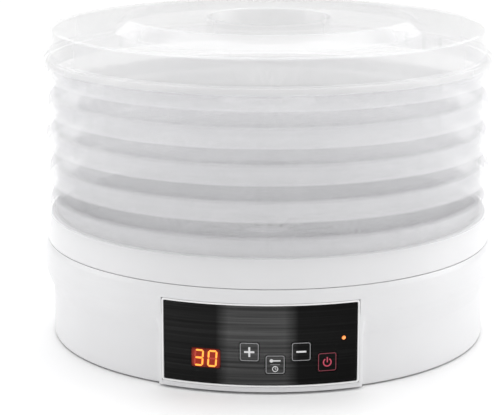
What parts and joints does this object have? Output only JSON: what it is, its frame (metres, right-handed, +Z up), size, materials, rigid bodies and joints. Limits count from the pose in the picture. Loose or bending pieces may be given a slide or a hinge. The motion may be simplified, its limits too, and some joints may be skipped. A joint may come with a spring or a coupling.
{
  "type": "food dehydrator",
  "caption": "Round electric food dehydrator: white heated fan base with a black digital panel, frosted nesting trays and a clear vented lid.",
  "frame": {"origin": "on the table under the centre of the round body", "axes": "+Z up, the control panel faces -Y, +X to the right seen from the front"},
  "size_m": [0.3174, 0.3174, 0.2248],
  "materials": {
    "lid_clear": "clear lightly frosted moulding",
    "tray_frosted": "translucent frosted moulding",
    "body_white": "satin white moulding",
    "cover_white": "matte off-white moulding",
    "panel_black": "glossy black sheet with fine level streaks",
    "frame_white": "glossy white edge",
    "display_red": "red lens over a lit two digit display",
    "pilot_amber": "lit amber lens",
    "key_black": "glossy black key with a printed outline",
    "foot_rubber": "soft grey rubber",
    "bush_rubber": "grey rubber",
    "screw_steel": "zinc plated steel",
    "motor_steel": "pressed steel can",
    "bracket_zinc": "zinc plated sheet",
    "shaft_steel": "ground steel",
    "impeller_black": "black heat resistant moulding",
    "duct_tin": "tinned sheet",
    "heater_sheath": "heat dulled sheath",
    "mica_sheet": "layered mica sheet",
    "ceramic_white": "white ceramic body",
    "board_green": "green solder resist",
    "display_block": "dark digit block",
    "switch_grey": "small tact switch",
    "transformer_yellow": "tape wrapped core",
    "relay_blue": "blue relay case",
    "capacitor_dark": "sleeved can"
  },
  "bodies": {
    "base": {"top_deck": "body_white", "base_housing": "body_white", "bottom_cover": "cover_white", "foot_1": "foot_rubber", "foot_2": "foot_rubber", "foot_3": "foot_rubber", "foot_4": "foot_rubber", "cover_screw_1": "screw_steel", "cover_screw_2": "screw_steel", "cover_screw_3": "screw_steel", "cover_screw_4": "screw_steel", "panel_overlay": "panel_black", "panel_frame": "frame_white", "display_window": "display_red", "indicator_light": "pilot_amber", "switch_plus": "switch_grey", "switch_mode": "switch_grey", "switch_minus": "switch_grey", "switch_power": "switch_grey", "control_board": "board_green", "display_module": "display_block", "fan_motor": "motor_steel", "motor_bracket": "bracket_zinc", "air_duct": "duct_tin", "heater_frame": "mica_sheet", "heater_element": "heater_sheath", "thermal_fuse": "ceramic_white", "temperature_sensor": "ceramic_white", "power_board": "board_green", "transformer": "transformer_yellow", "relay": "relay_blue", "capacitor": "capacitor_dark", "cord_bush": "bush_rubber"},
    "lid": {"lid": "lid_clear"},
    "tray_1": {"tray_1": "tray_frosted"},
    "tray_2": {"tray_2": "tray_frosted"},
    "tray_3": {"tray_3": "tray_frosted"},
    "tray_4": {"tray_4": "tray_frosted"},
    "tray_5": {"tray_5": "tray_frosted"},
    "fan": {"fan_impeller": "impeller_black", "motor_shaft": "shaft_steel"},
    "plus_key": {"key_plus": "key_black"},
    "mode_key": {"key_mode": "key_black"},
    "minus_key": {"key_minus": "key_black"},
    "power_key": {"key_power": "key_black"}
  },
  "joints": [
    {"name": "tray_5_lift", "type": "slide", "parent": "base", "child": "tray_5", "axis": [0, 0, 1], "range_m": [0, 0.06]},
    {"name": "tray_4_lift", "type": "slide", "parent": "tray_5", "child": "tray_4", "axis": [0, 0, 1], "range_m": [0, 0.06]},
    {"name": "tray_3_lift", "type": "slide", "parent": "tray_4", "child": "tray_3", "axis": [0, 0, 1], "range_m": [0, 0.06]},
    {"name": "tray_2_lift", "type": "slide", "parent": "tray_3", "child": "tray_2", "axis": [0, 0, 1], "range_m": [0, 0.06]},
    {"name": "tray_1_lift", "type": "slide", "parent": "tray_2", "child": "tray_1", "axis": [0, 0, 1], "range_m": [0, 0.06]},
    {"name": "lid_lift", "type": "slide", "parent": "tray_1", "child": "lid", "axis": [0, 0, 1], "range_m": [0, 0.06]},
    {"name": "fan_spin", "type": "hinge", "parent": "base", "child": "fan", "pos_m": [0, 0, 0.042], "axis": [0, 0, 1], "continuous": true},
    {"name": "plus_press", "type": "slide", "parent": "base", "child": "plus_key", "axis": [0.0417, 0.9991, 0], "range_m": [0, 0.0006], "stiffness_N_per_m": 2500},
    {"name": "mode_press", "type": "slide", "parent": "base", "child": "mode_key", "axis": [-0.0631, 0.998, 0], "range_m": [0, 0.0006], "stiffness_N_per_m": 2500},
    {"name": "minus_press", "type": "slide", "parent": "base", "child": "minus_key", "axis": [-0.1684, 0.9857, 0], "range_m": [0, 0.0006], "stiffness_N_per_m": 2500},
    {"name": "power_press", "type": "slide", "parent": "base", "child": "power_key", "axis": [-0.2736, 0.9618, 0], "range_m": [0, 0.0006], "stiffness_N_per_m": 2500}
  ]
}
